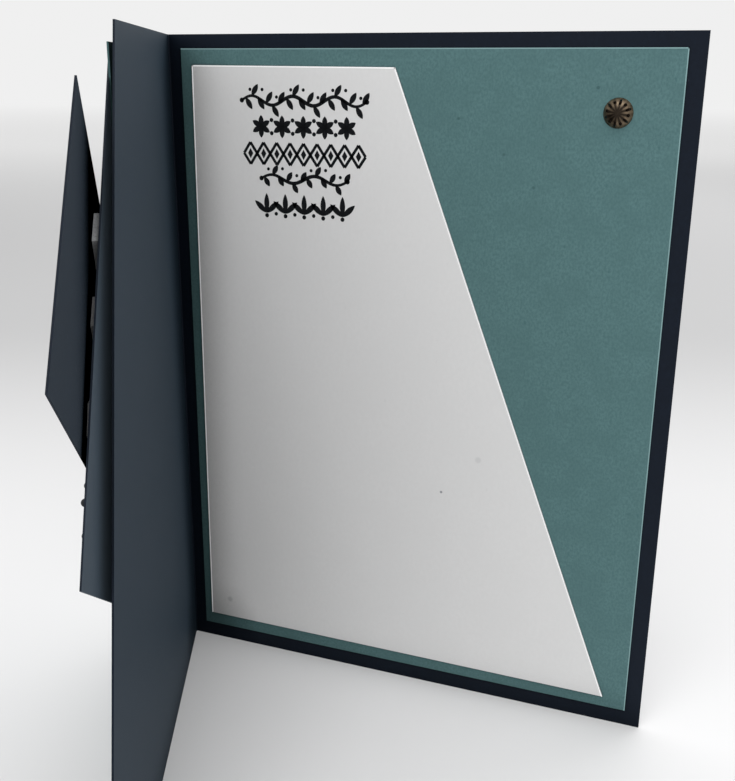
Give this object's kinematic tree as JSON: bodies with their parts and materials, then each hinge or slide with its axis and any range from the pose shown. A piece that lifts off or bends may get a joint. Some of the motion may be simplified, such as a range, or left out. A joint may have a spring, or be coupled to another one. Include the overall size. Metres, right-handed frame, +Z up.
{
  "type": "greeting card",
  "caption": "Open folded greeting card with a diagonally cut front leaf, coloured mats, a white writing panel, layered front pieces on foam and a small pierced brass fastener.",
  "frame": {"origin": "middle of the back leaf's foot, halfway through the card's thickness", "axes": "+X along the back leaf away from the fold, -Y into the opening between the leaves, +Z up along the fold"},
  "size_m": [0.1135, 0.0994, 0.1397],
  "materials": {
    "navy_card": "matt navy cardstock with a fine fibre",
    "teal_card": "matt teal cardstock with a fine fibre",
    "white_card": "smooth matt white card",
    "antique_brass": "darkened antique brass, bright on high edges",
    "white_foam": "matt white closed-cell foam",
    "dark_sprig": "near-black matt paper"
  },
  "bodies": {
    "root": {"card_base": "navy_card", "inside_mat": "teal_card", "inside_panel": "white_card", "brad_cap": "antique_brass", "brad_legs": "antique_brass", "front_mat": "teal_card", "front_layer": "navy_card", "front_flap": "navy_card", "berry_sprig": "dark_sprig", "front_foam_1": "white_foam", "front_foam_2": "white_foam", "front_foam_3": "white_foam", "front_foam_4": "white_foam", "front_foam_5": "white_foam", "front_foam_6": "white_foam", "front_foam_7": "white_foam", "flap_foam_1": "white_foam", "flap_foam_2": "white_foam", "flap_foam_3": "white_foam", "flap_foam_4": "white_foam", "flap_foam_5": "white_foam", "flap_foam_6": "white_foam"}
  },
  "joints": []
}
